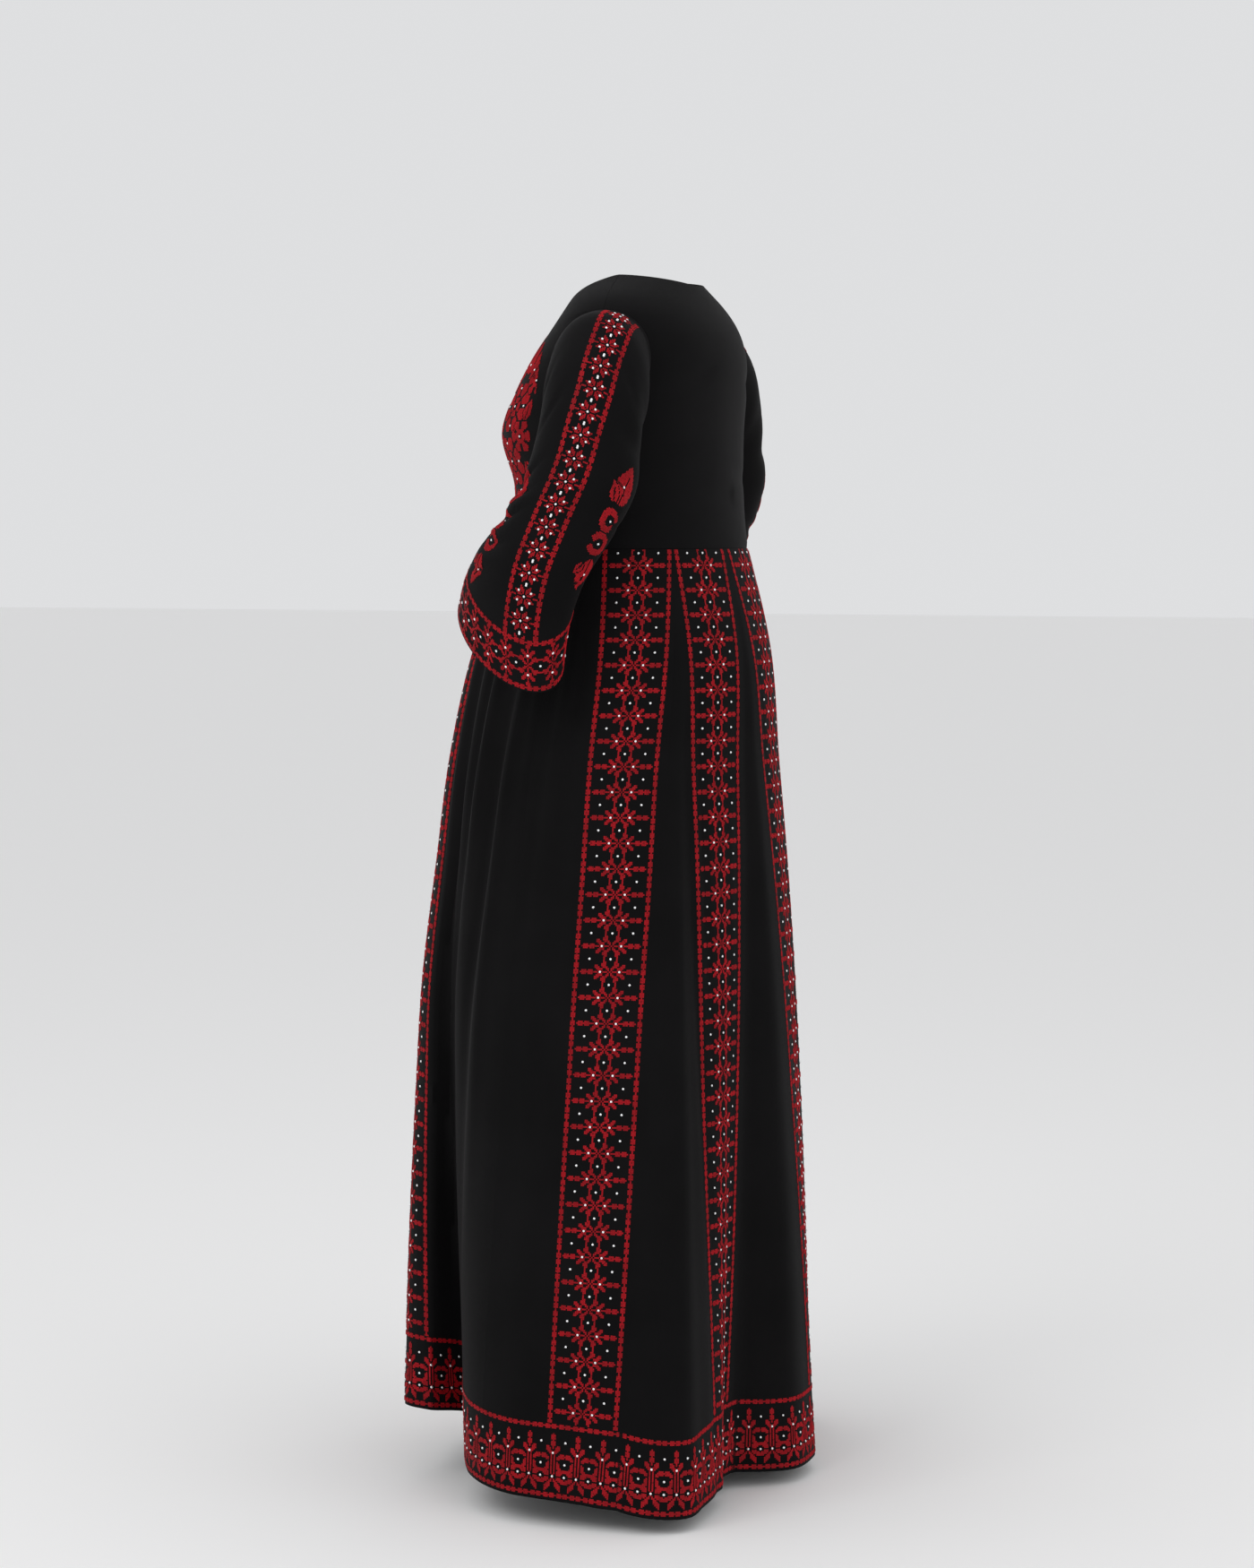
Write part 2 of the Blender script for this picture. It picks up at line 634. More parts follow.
def on_line(row, lengths):
    """Points of a row of the skirt at these lengths round it."""
    line, length = row[:2]
    return along_line(np.mod(lengths, length[-1]), length, line)


def seam_place(row, strip, share):
    """The length round the skirt of a panel seam that lies between two strips."""
    _, length, centres, half = row
    count = len(STRIPS)
    centre = [centres[i % count] + (i // count) * length[-1] for i in (strip, strip + 1)]
    start, end = centre[0] + half[strip % count], centre[1] - half[(strip + 1) % count]
    return start + share * (end - start)


def bodice_points(front, low, arm, high, cells):
    """Points of the bodice's front or back, from its left seam to its right as seen from outside."""
    turns = np.linspace(180, 0, arm + 1)
    angles, heights = armhole(turns)
    heights = np.concatenate([np.linspace(BODICE_FOOT_Z, ARMPIT_Z, low + 1)[:-1], heights,
                              np.linspace(TIP_Z, NECK_SIDE_Z, high + 1)[1:]])
    levels = np.concatenate([heights[:low], np.linspace(ARMPIT_Z, TIP_Z, arm + 1), heights[low + arm + 1:]])
    ends = np.concatenate([np.full(low, 90.0), angles, np.full(high, 90.0)])
    dip = NECK_FRONT_DIP if front else NECK_BACK_DIP
    rows = []
    for height, level, reach in zip(heights, levels, ends):
        width = float(smooth(BODICE_SECTIONS, 1, np.array(height)))
        end = reach - math.degrees(SEAM / 2 / width) * (reach > 89.9)
        angle = np.linspace(-end, end, cells + 1)
        rise = (level - WAIST_Z) / (NECK_SIDE_Z - WAIST_Z)
        fall = np.cos(np.radians(90 * angle / end)).clip(0) ** NECK_CURVE
        z = height + (level - height) * (1 - np.abs(angle / end) ** ARMHOLE_EASE) - dip * rise**3 * fall
        rows.append(bodice_surface(angle if front else angle + 180, z))
    return np.array(rows[::-1])


def sleeve_rows(turn, lengths_down):
    """Left sleeve points on lines at these turns. Each row is a share of a line, and a length past it."""
    fine = np.linspace(0, 1, 201)[:, None] + 0 * turn
    lines = sleeve_surface(twisted(turn, fine), fine)
    length = run(lines, 0)
    share = np.empty((len(lengths_down), len(turn)))
    for j in range(len(turn)):
        whole = length[-1, j]
        wanted = [whole * part + away for part, away in lengths_down]
        share[:, j] = np.interp(wanted, length[:, j], fine[:, j])
    return sleeve_surface(twisted(turn, share), share)


def turned_in(turn):
    """Rows of the seam allowance that the left sleeve has inside the armhole, deepest first."""
    angle, height = armhole(turn)
    start = bodice_surface(angle, height)
    round_it = bodice_surface(angle + 0.5, height) - start
    up_it = bodice_surface(angle, height + 0.002) - start
    deep = unit(np.cross(up_it, round_it))
    deep = deep * np.sign((deep * -start * np.array([1.0, 1.0, 0.0])).sum(axis=-1, keepdims=True))
    within = unit(bodice_surface(*armhole(turn, ARMHOLE_INSET)) - start)
    return np.stack([start + within * SEAM * gap + deep * depth for gap, depth in TURNED_IN])


def mirrored(points):
    """The same grid on the wearer's right, with its columns still to the viewer's right."""
    return (points * np.array([-1.0, 1.0, 1.0]))[:, ::-1]


def ground(across, along, points):
    """What a stitch is laid on: widths, lengths, points and normals."""
    return across, along, points, outward(points)


def evened(points, across):
    """A ground whose columns stand at these widths from the grid's middle line."""
    wide = run(points, 1)
    wide = wide - wide[:, points.shape[1] // 2, None]
    level = np.array([along_line(across, place, row) for place, row in zip(wide, points)])
    return ground(across, run(level[:, len(across) // 2], 0), level)


def closed_ground(length, along, points, wrap):
    """A ground for a closed band that goes on past its ends by this many columns."""
    whole = length[-1]
    return ground(
        np.concatenate([length[-wrap - 1:-1] - whole, length, length[1:wrap + 1] + whole]),
        along,
        np.concatenate([points[:, -wrap - 1:-1], points, points[:, 1:wrap + 1]], axis=1),
    )


def on_ground(base, across, along, height):
    """Points at these widths and lengths of a ground, lifted off it."""
    wide, long, points, normals = base
    column = np.clip(np.interp(across, wide, np.arange(len(wide))), 0, len(wide) - 1.000001)
    row = np.clip(np.interp(along, long, np.arange(len(long))), 0, len(long) - 1.000001)
    i, j = row.astype(int), column.astype(int)
    s, t = (row - i)[..., None], (column - j)[..., None]

    def mixed(grid):
        return (
            (grid[i, j] * (1 - t) + grid[i, j + 1] * t) * (1 - s)
            + (grid[i + 1, j] * (1 - t) + grid[i + 1, j + 1] * t) * s
        )

    return mixed(points) + unit(mixed(normals)) * height[..., None]


# Charts: # is a stitch, o a stone, @ a stone on a stitch. Each is half or a quarter of its motif

STAR_AND_BRANCH = """
#.###.o.###########
.#...###...###.###.
.##..####..........
..###..###.........
...###..##.........
...###.............
...##..............
....#..............
o...#........o.....
""".split()
EIGHT_POINT_STAR = """
@.....###
..###....
.#.###...
.##.@##..
.###.....
..##.....
...#.....
o........
""".split()
HEM_PLANT = """
#........
##.......
##.......
##.......
#........
##......o
##.......
##.......
#..##....
#.###....
..###....
.###.....
o##......
.#...###.
.#..#####
.#.#####.
.#.##....
.#.......
.#.#.....
.#.##...o
.#.##....
.#.##....
.#.###...
.#..#####
.#.######
.#.####..
#..###...
o.......o
#..###...
.#.#####.
.##.#####
..##..###
..###....
..####...
...###...
....##...
.....#...
""".split()
HEM_PLANT_TOP = 6
BLOB_BORDER = ("###", "###", "###", ".#.", "###", "###", "###", ".#.", ".#.")
BORDER_COLUMNS = len(BLOB_BORDER[0])


def full_width(half):
    """Rows of a chart from its right half, whose first column is the middle."""
    return [row[:0:-1] + row for row in half]


def quarter_turned(quarter, odd):
    """Rows of one repeat from its lower right quarter. An odd repeat has the quarter's last row twice."""
    rows = full_width(quarter)
    return rows + rows[1:len(rows) - (0 if odd else 1)][::-1]


def marks(rows, kinds):
    """Column and row of each mark of these kinds."""
    return [(j, i) for i, row in enumerate(rows) for j, mark in enumerate(row) if mark in kinds]


def repeated(rows, count, step, start):
    """Stitches and stones of a chart repeated from this column and row, by this step in both."""
    steps = np.arange(count)[:, None, None] * step + start
    return [(np.array(marks(rows, kinds), float) + steps).reshape(-1, 2) for kinds in ("#@", "o@")]


def border(length, columns):
    """Stitches of the linked pairs of blobs, down a border of this many rows at each of these columns."""
    rows = [BLOB_BORDER[i % len(BLOB_BORDER)] for i in range(length)]
    found = np.array(marks(rows, "#"), float)
    return np.concatenate([found + [column, 0] for column in columns])


def kept(spots, first, last):
    """Spots from the first column and row to the last."""
    return spots[((spots >= first) & (spots <= last)).all(axis=1)]


def edged_band(chart, columns, rows, start):
    """Stitches and stones of a chart repeated down a band between its two borders."""
    stitches, gems = repeated(chart, math.ceil(rows / len(chart)) + 1, (0, len(chart)), start)
    edges = border(rows, (0, columns - BORDER_COLUMNS))
    stitches = kept(stitches, (0, 0), (columns - 1, rows - 1))
    return np.concatenate([stitches, edges]), kept(gems, (0, 1), (columns - 1, rows - 2))


# Flowers of the chest and sleeves, drawn on the stitch grid by their own rules


def blossom(x, y, reach):
    """Six round petals parted by dark lines round a dark eye."""
    away, turn = np.hypot(x, y), np.arctan2(y, x)
    edge = reach * (0.74 + 0.26 * np.abs(np.cos(3 * turn)))
    parted = np.abs(np.cos(3 * turn)) * away > 0.30 * reach
    return (away < edge) & (away > 0.17 * reach) & (parted | (away < 0.42 * reach))


def rosette(x, y, reach):
    """Eight long petals in two rings round a stone."""
    away, turn = np.hypot(x, y), np.arctan2(y, x)
    petal = np.abs(np.sin(4 * turn))
    outer = (away < reach * (0.72 + 0.28 * petal)) & (away > 0.46 * reach) & (petal * away > 0.22 * reach)
    inner = (away < 0.38 * reach) & (away > 0.14 * reach) & (np.abs(np.cos(2 * turn)) > 0.35)
    return outer | inner


def tulip(x, y, reach):
    """A cup of three pointed petals, the tip up."""
    up = y / reach
    cup = 0.42 * np.sqrt(np.clip(1 - (up - 0.34) ** 2 / 0.1225, 0, 1)) * reach
    middle = (np.abs(x) < 0.20 * reach * np.sin(np.pi * np.clip(up, 0, 1)) ** 0.7) & (up > 0.25) & (up < 1)
    side = 0.30 + 0.22 * up
    thick = 0.15 * np.sin(np.pi * np.clip((up + 0.02) / 0.9, 0, 1))
    petals = (np.abs(np.abs(x) / reach - side) < thick) & (up < 0.88)
    base = (np.abs(x) < cup) & (up < 0.30) & (up > 0)
    gap = (np.abs(np.abs(x) / reach - 0.225) < 0.045) & (up > 0.22)
    return ((middle | petals) & ~gap) | base


def leaf(x, y, reach):
    """A pointed leaf with a dark rib."""
    up = np.clip(y / reach, 0, 1)
    wide = 0.27 * reach * np.sin(np.pi * up**0.8)
    rib = (np.abs(x) < 0.55) & (up < 0.72)
    return (y > 0) & (y < reach) & (np.abs(x) < wide) & ~rib


def stem(x, y, reach):
    """A curved stem."""
    return (y > 0) & (y < reach) & (np.abs(x - 0.10 * reach * np.sin(np.pi * y / reach)) < 0.8)


def scroll(x, y, reach):
    """A thick hook that ends in a round head."""
    away, turn = np.hypot(x, y), np.degrees(np.arctan2(y, x)) % 360
    thick = 0.17 + 0.10 * np.sin(np.radians(turn * 0.6))
    arc = (np.abs(away / reach - 0.72) < thick) & (turn < 285)
    head = np.hypot(x / reach - 0.34, y / reach + 0.52) < 0.27
    return arc | head


# Chest embroidery, the wearer's left half: kind, across and up in stitches from the middle of the foot,
# turn in degrees, reach in stitches. The right half mirrors it
CHEST_FLOWERS = (
    (rosette, 0, 96, 0, 12),
    (tulip, 0, 109, 0, 15),
    (leaf, 5, 104, -48, 16),
    (stem, 0, 50, 0, 36),
    (leaf, 1, 62, -52, 15),
    (leaf, 1, 76, -50, 14),
    (blossom, 0, 38, 0, 12),
    (leaf, 4, 26, -118, 16),
    (tulip, 0, 26, 180, 17),
    (leaf, 12, 44, -70, 15),
    (rosette, 30, 60, 0, 15),
    (blossom, 23, 88, 0, 11),
    (leaf, 28, 98, -20, 15),
    (leaf, 33, 90, -64, 15),
    (tulip, 20, 100, 12, 15),
    (leaf, 18, 72, 30, 12),
    (blossom, 22, 20, 0, 11),
    (leaf, 14, 14, 96, 12),
    (tulip, 30, 28, -18, 16),
    (leaf, 39, 34, 4, 14),
    (blossom, 43, 18, 0, 11),
    (leaf, 34, 10, 100, 14),
    (leaf, 52, 12, 70, 13),
    (blossom, 46, 50, 0, 10),
    (leaf, 46, 62, 10, 13),
    (blossom, 48, 92, 0, 10),
    (leaf, 42, 104, 30, 14),
    (leaf, 48, 112, 4, 15),
    (rosette, 64, 36, 0, 17),
    (rosette, 70, 72, 0, 18),
    (leaf, 60, 92, 16, 21),
    (tulip, 68, 96, -6, 24),
    (leaf, 77, 90, -28, 19),
    (leaf, 54, 56, 60, 12),
    (blossom, 84, 52, 0, 11),
    (leaf, 84, 36, -170, 16),
    (leaf, 88, 62, -8, 15),
    (blossom, 88, 90, 0, 10),
    (leaf, 82, 106, -14, 16),
    (leaf, 72, 14, -50, 15),
    (blossom, 64, 10, 0, 8),
)
CHEST_STONES = (
    (0, 96), (0, 38), (30, 60), (23, 88), (22, 20), (43, 18), (46, 50), (64, 36), (48, 92), (70, 72),
    (30, 49), (30, 71), (19, 60), (41, 60), (0, 118), (0, 14), (20, 108), (38, 36), (64, 10), (12, 50),
    (14, 78), (64, 48), (64, 24), (52, 36), (76, 36), (70, 85), (70, 59), (57, 72), (83, 72), (68, 102),
    (56, 100), (80, 98), (62, 122), (84, 52), (88, 90),
)
# Spray of a sleeve, from the bend to the cuff: kind, across and up in stitches, turn in degrees, reach
SLEEVE_FLOWERS = (
    (leaf, 1, -14, -4, 27),
    (leaf, -3, -15, 22, 13),
    (scroll, 1, -25, 20, 8),
    (scroll, 0, -41, 200, 8),
    (leaf, 1, -51, 178, 22),
    (leaf, -3, -54, 152, 9),
)
# Its stones: across and down in stitches
SLEEVE_STONES = ((1, 25), (0, 41), (1, 2), (1, 62))
SPRAY_ROWS = 96
# The two sprays of a sleeve: name, turn of its middle line, stitches further down the sleeve
SPRAYS = (
    ("back", -86, 0),
    ("front", 48, 20),
)


def drawn(flowers, across, up):
    """Which cells of a stitch grid the flowers cover, each cutting a dark line round itself."""
    x, y = np.meshgrid(across, up)
    cover = np.zeros(x.shape, bool)
    for kind, at_x, at_y, turn, reach in flowers:
        c, s = math.cos(math.radians(turn)), math.sin(math.radians(turn))
        here_x, here_y = (x - at_x) * c + (y - at_y) * s, (y - at_y) * c - (x - at_x) * s
        shape = kind(here_x, here_y, reach)
        near = shape.copy()
        for step in (-1, 1):
            near |= np.roll(shape, step, 0) | np.roll(shape, step, 1)
        cover = (cover & ~near) | shape
    return x[cover], y[cover]


# Materials


def new_material(name, colour, rough, **values):
    coat = bpy.data.materials.new(name)
    coat.use_nodes = True
    shader = coat.node_tree.nodes["Principled BSDF"]
    shader.inputs["Base Color"].default_value = (*colour, 1)
    shader.inputs["Roughness"].default_value = rough
    for key, value in values.items():
        shader.inputs[key.replace("_", " ")].default_value = value
    return coat


def feed(coat, node, inputs):
    """Gives a node's inputs their values, or links them to other nodes' outputs."""
    for key, value in inputs.items():
        if isinstance(value, bpy.types.NodeSocket):
            coat.node_tree.links.new(value, node.inputs[key])
        else:
            node.inputs[key].default_value = value


def new_node(coat, kind, inputs, **settings):
    node = coat.node_tree.nodes.new(kind)
    for key, value in settings.items():
        setattr(node, key, value)
    feed(coat, node, inputs)
    return node.outputs


def crepe_material():
    """Matt black crepe: a fine pebbled weave along the cloth's own threads, faintly greyer in patches."""
    coat = new_material("black_crepe_cloth", (0.004, 0.004, 0.004), 0.72, Sheen_Weight=0.022,
                        Sheen_Roughness=0.40, Specular_IOR_Level=0.07)
    threads = new_node(coat, "ShaderNodeAttribute", {}, attribute_name="threads")["Vector"]
    grain = {"Vector": threads, "Scale": 1300.0, "Detail": 3.0, "Roughness": 0.6}
    pebble = new_node(coat, "ShaderNodeTexNoise", grain)["Fac"]
    parts = new_node(coat, "ShaderNodeSeparateXYZ", {"Vector": threads})
    waves = []
    for axis, pitch in (("X", 0.00062), ("Y", 0.00055)):
        scale = {0: parts[axis], 1: 2 * math.pi / pitch}
        scaled = new_node(coat, "ShaderNodeMath", scale, operation="MULTIPLY")[0]
        waves.append(new_node(coat, "ShaderNodeMath", {0: scaled}, operation="SINE")[0])
    crossed = new_node(coat, "ShaderNodeMath", {0: waves[0], 1: waves[1]}, operation="MULTIPLY")[0]
    height = new_node(coat, "ShaderNodeMath", {0: crossed, 1: 0.22, 2: pebble}, operation="MULTIPLY_ADD")[0]
    bump = new_node(coat, "ShaderNodeBump", {"Strength": 0.35, "Distance": 0.0003, "Height": height})
    place = new_node(coat, "ShaderNodeTexCoord", {})["Object"]
    patches = {"Vector": place, "Scale": 7.0, "Detail": 4.0, "Roughness": 0.55}
    patch = new_node(coat, "ShaderNodeTexNoise", patches)["Fac"]
    shade = new_node(coat, "ShaderNodeValToRGB", {"Fac": patch})["Color"]
    darkest, palest = shade.node.color_ramp.elements
    darkest.position, palest.position = 0.35, 0.70
    darkest.color = (0.0030, 0.0028, 0.0030, 1)
    palest.color = (0.0052, 0.0048, 0.0052, 1)
    dull = new_node(coat, "ShaderNodeMapRange", {"Value": pebble, "To Min": 0.66, "To Max": 0.80})
    feed(coat, coat.node_tree.nodes["Principled BSDF"], {
        "Base Color": shade,
        "Roughness": dull["Result"],
        "Normal": bump["Normal"],
        "Sheen Tint": (0.90, 0.86, 0.88, 1),
    })
    return coat


CREPE = crepe_material()
REDS = [
    new_material("red_thread_" + name, colour, 0.50, Specular_IOR_Level=0.14)
    for name, colour in (
        ("bright", (0.430, 0.006, 0.013)),
        ("middle", (0.350, 0.005, 0.011)),
        ("deep", (0.240, 0.004, 0.008)),
    )
]
STONE = new_material("clear_stone", (0.98, 0.98, 0.99), 0.12, Metallic=0.50)


# Pieces


def made(operator, **values):
    """The one object that an operator adds, with nothing else chosen."""
    for item in bpy.context.selected_objects:
        item.select_set(False)
    operator(**values)
    return bpy.context.object


def settle():
    """Gives a model's place, turn and scale to its points."""
    bpy.ops.object.transform_apply(location=True, rotation=True, scale=True)


def finish_piece(piece, slot, *nodes):
    """Fixes a piece to the garment, in its slot and in the place of its plain solids."""
    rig.ride(piece, "root")
    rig.slot(piece, slot)
    if nodes:
        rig.replaces(piece, *nodes)
    return piece


def cloth_piece(name, points, *nodes):
    """A flat grid laid on the garment's form and given the cloth's thickness inward."""
    rows, columns = points.shape[:2]
    piece = made(
        bpy.ops.mesh.primitive_grid_add, x_subdivisions=columns - 1, y_subdivisions=rows - 1, size=1
    )
    piece.name = piece.data.name = name
    flat = np.empty(rows * columns * 3)
    piece.data.vertices.foreach_get("co", flat)
    flat = np.round(flat.reshape(-1, 3), 5)
    order = np.lexsort((flat[:, 0], -flat[:, 1]))
    placed = np.empty((rows * columns, 3))
    placed[order] = points.reshape(-1, 3)
    threads = np.zeros((rows * columns, 3))
    across = run(points, 1)
    across = across - across[:, -1:] / 2
    threads[order] = np.stack([across, run(points, 0), 0 * across], axis=-1).reshape(-1, 3)
    piece.data.vertices.foreach_set("co", placed.ravel())
    along = piece.data.attributes.new("threads", "FLOAT_VECTOR", "POINT")
    along.data.foreach_set("vector", threads.ravel())
    piece.data.update()
    bpy.ops.object.modifier_add(type="SOLIDIFY")
    wall = piece.modifiers[-1]
    wall.thickness = CLOTH
    wall.offset = -1
    wall.use_even_offset = True
    bpy.ops.object.modifier_apply(modifier=wall.name)
    bpy.ops.object.shade_smooth_by_angle(angle=math.radians(50))
    piece.data.materials.append(CREPE)
    return finish_piece(piece, "crepe", *nodes)


def cut_of(points):
    """The width, length and area of the flat cloth that a grid of points stands for."""
    wide, long = run(points, 1)[:, -1].max(), run(points, 0)[-1].max()
    across, down = np.diff(points, axis=1), np.diff(points, axis=0)
    area = np.linalg.norm(np.cross(across[:-1], down[:, :-1]), axis=-1).sum() / 2
    area += np.linalg.norm(np.cross(across[1:], down[:, 1:]), axis=-1).sum() / 2
    return (wide, long), min(float(area), wide * long)


def thread_cross():
    """One stitch: a ridged thread over a flat one, corner to corner."""
    under = made(bpy.ops.mesh.primitive_plane_add, size=1)
    under.scale = (STITCH * 1.20, STITCH * 0.42, 1)
    under.rotation_euler.z = math.radians(45)
    under.location.z = 0.00030
    settle()
    over = made(bpy.ops.mesh.primitive_grid_add, x_subdivisions=1, y_subdivisions=2, size=1)
    for vertex in over.data.vertices:
        vertex.co.z = 0.00068 if abs(vertex.co.y) < 0.1 else 0.00012
    over.scale = (STITCH * 1.22, STITCH * 0.48, 1)
    over.rotation_euler.z = math.radians(-45)
    settle()
    under.select_set(True)
    bpy.ops.object.join()
    return over


def cut_stone():
    """A six-sided stone with a flat top."""
    gem = made(
        bpy.ops.mesh.primitive_cone_add,
        vertices=6, radius1=0.00160, radius2=0.00115, depth=0.0009, location=(0, 0, 0.0010),
    )
    settle()
    return gem


def shape_of(model):
    """A model's points, its faces' corners and each face's number of corners. It removes the model."""
    mesh = model.data
    points = np.empty(len(mesh.vertices) * 3)
    mesh.vertices.foreach_get("co", points)
    corners = np.empty(len(mesh.loops), int)
    mesh.loops.foreach_get("vertex_index", corners)
    counts = np.empty(len(mesh.polygons), int)
    mesh.polygons.foreach_get("loop_total", counts)
    bpy.data.objects.remove(model)
    return points.reshape(-1, 3), corners, counts


CROSS = shape_of(thread_cross())
CUT_STONE = shape_of(cut_stone())


def sown(base, shape, spots):
    """Points of the copies of a small shape that are laid on a ground, one at each spot."""
    model = shape[0]
    across = spots[:, None, 0] + model[None, :, 0]
    along = spots[:, None, 1] + model[None, :, 1]
    height = np.broadcast_to(model[None, :, 2], across.shape)
    return on_ground(base, across, along, height)


def joined_copies(name, shape, copies, coats, choice, *nodes):
    """One mesh of many copies of a small shape, each copy's material by its choice."""
    model, corners, counts = shape
    number = len(copies)
    mesh = bpy.data.meshes.new(name)
    mesh.vertices.add(number * len(model))
    mesh.vertices.foreach_set("co", np.ascontiguousarray(copies, float).ravel())
    mesh.loops.add(number * len(corners))
    all_corners = corners[None] + np.arange(number)[:, None] * len(model)
    mesh.loops.foreach_set("vertex_index", all_corners.ravel().astype(np.int32))
    mesh.polygons.add(number * len(counts))
    starts = np.concatenate([[0], np.cumsum(np.tile(counts, number))[:-1]])
    mesh.polygons.foreach_set("loop_start", starts.astype(np.int32))
    mesh.update(calc_edges=True)
    for coat in coats:
        mesh.materials.append(coat)
    mesh.polygons.foreach_set("material_index", np.repeat(choice, len(counts)).astype(np.int32))
    mesh.validate()
    piece = bpy.data.objects.new(name, mesh)
    bpy.context.scene.collection.objects.link(piece)
    return finish_piece(piece, "embroidery", *nodes)


def thread_shade(spots):
    """Which red each stitch has: long runs of one skein, with a darker stitch here and there."""
    column, row = np.round(spots[:, 0]), np.round(spots[:, 1])
    run_shade = np.sin(column * 0.21 + row * 0.13) + 0.6 * np.sin(row * 0.071 + 1.3)
    odd = (column * 7 + row * 13) % 11 == 0
    return np.where(odd, 2, np.where(run_shade > 0.1, 0, 1))


cloths = {}
worked = {}
stones = []


def lay_cloth(node, points):
    """The cloth of one panel, its flat cut, and a place for what is worked on it."""
    cloths[node] = cloth_piece(node + "_cloth", points, node), cut_of(points)
    worked[node] = []


def embroider(cloth, name, base, stitches, gems, pitch, origin, *nodes):
    """Stitches and stones worked on a cloth, from columns and rows at this pitch and origin on a ground."""
    pitch, origin = np.array(pitch), np.array(origin)
    stitches = np.unique(np.round(stitches * 2) / 2, axis=0)
    copies = sown(base, CROSS, stitches * pitch + origin)
    stones.append(sown(base, CUT_STONE, gems * pitch + origin))
    worked[cloth].append(joined_copies(name, CROSS, copies, REDS, thread_shade(stitches), *nodes))


# The skirt

skirt = skirt_rows(np.concatenate([SKIRT_TOP_ROWS, np.linspace(SKIRT_EVEN_START, 1, SKIRT_EVEN_ROWS)]))
for name, first, first_share, last, last_share in SKIRT_PANELS:
    ends = [(seam_place(row, first, first_share), seam_place(row, last, last_share)) for row in skirt]
    cells = math.ceil(max(end - start for start, end in ends) / SKIRT_CELL)
    points = np.array([
        on_line(row, np.linspace(start + PANEL_GAP / 2, end - PANEL_GAP / 2, cells + 1))
        for row, (start, end) in zip(skirt, ends)
    ])
    lay_cloth(name, points)

strip_chart = quarter_turned(STAR_AND_BRANCH, False)
strip_columns = 45
offsets = np.linspace(-1, 1, 27)
for i, (name, _, panel) in enumerate(STRIPS):
    points = np.array([on_line(row, row[2][i] + offsets * row[3][i]) for row in skirt])
    middle = run(points[:, len(offsets) // 2], 0)
    fine = np.linspace(0, middle[-1], 220)
    base = ground(
        offsets * STRIP_HALF_WIDTH, fine,
        np.stack([along_line(fine, middle, points[:, j]) for j in range(len(offsets))], axis=1),
    )
    rows = int((middle[-1] - HEM_BAND) / STITCH) - 1
    stitches, gems = edged_band(strip_chart, strip_columns, rows, (4, -6))
    start = (-(strip_columns - 1) / 2 * STITCH, STITCH)
    strip = "strip_" + name
    embroider(panel, strip + "_embroidery", base, stitches, gems, (STITCH, STITCH), start, strip)

# The hem band

hem_columns = np.linspace(0, 360, SKIRT_LINES + 1)
rises = np.linspace(0.0004, HEM_BAND, 24)
hem_points = skirt_surface(hem_columns[None], 1 - rises[:, None] / skirt_drop(hem_columns)[None])
around_hem = run(hem_points, 1)[len(rises) // 2]
hem_base = closed_ground(around_hem, HEM_BAND - rises[::-1], hem_points[::-1], 12)
plant = [row[1:] for row in full_width(HEM_PLANT)]
plant_width = len(plant[0])
plants = round(around_hem[-1] / STITCH / plant_width)
hem_pitch = around_hem[-1] / (plants * plant_width)
hem_height = 47
hem_row = 0.00173
stitches, gems = repeated(plant, plants, (plant_width, 0), (0, HEM_PLANT_TOP))
edge = border(plants * plant_width, (0, hem_height - BORDER_COLUMNS))[:, ::-1]
embroider(
    "skirt_front", "hem_band_embroidery", hem_base, np.concatenate([stitches, edge]), gems,
    (hem_pitch, hem_row), (hem_pitch / 2, hem_row / 2), "hem_band",
)

# The bodice

for side, is_front in (("front", True), ("back", False)):
    lay_cloth("bodice_" + side, bodice_points(is_front, 16, 30, 8, 64))

chest_foot = -0.280
chest_heights = np.linspace(chest_foot - 0.004, 0.0, 150)
chest_angles = np.linspace(-78, 78, 157)
chest_points = bodice_surface(chest_angles[None], chest_heights[::-1][:, None])
chest_base = evened(chest_points, np.linspace(-0.185, 0.185, 149))
chest_down = float(np.interp(-chest_foot, -chest_heights[::-1], chest_base[1]))
sides = (1, -1)
both = [(kind, side * x, y, side * turn, reach)
        for kind, x, y, turn, reach in CHEST_FLOWERS for side in sides[:1 + bool(x)]]
across, up = drawn(both, np.arange(-100, 101), np.arange(0, 150))
gem_spots = np.array([(side * x, y) for x, y in CHEST_STONES for side in sides[:1 + bool(x)]], float)


def in_chest(spots, beyond):
    """Spots on the chest panel below the neck, or so many degrees past its sides, with rows down."""
    at = on_ground(chest_base, spots[:, 0] * STITCH, chest_down - spots[:, 1] * STITCH, np.zeros(len(spots)))
    middle = smooth(BODICE_SECTIONS, 5, at[:, 2])
    angle = np.degrees(np.arctan2(at[:, 0], -(at[:, 1] - middle)))
    neck = NECK_SIDE_Z - NECK_FRONT_DIP * np.cos(np.radians(angle)).clip(0) ** NECK_CURVE
    side = smooth(CHEST_SIDES, 1, at[:, 2] + 0.006)
    inside = (np.abs(angle) >= side) & (np.abs(angle) < side + beyond) if beyond else np.abs(angle) < side
    return spots[inside & (at[:, 2] < neck - 0.005) & (spots[:, 1] * STITCH < chest_down)] * [1, -1]


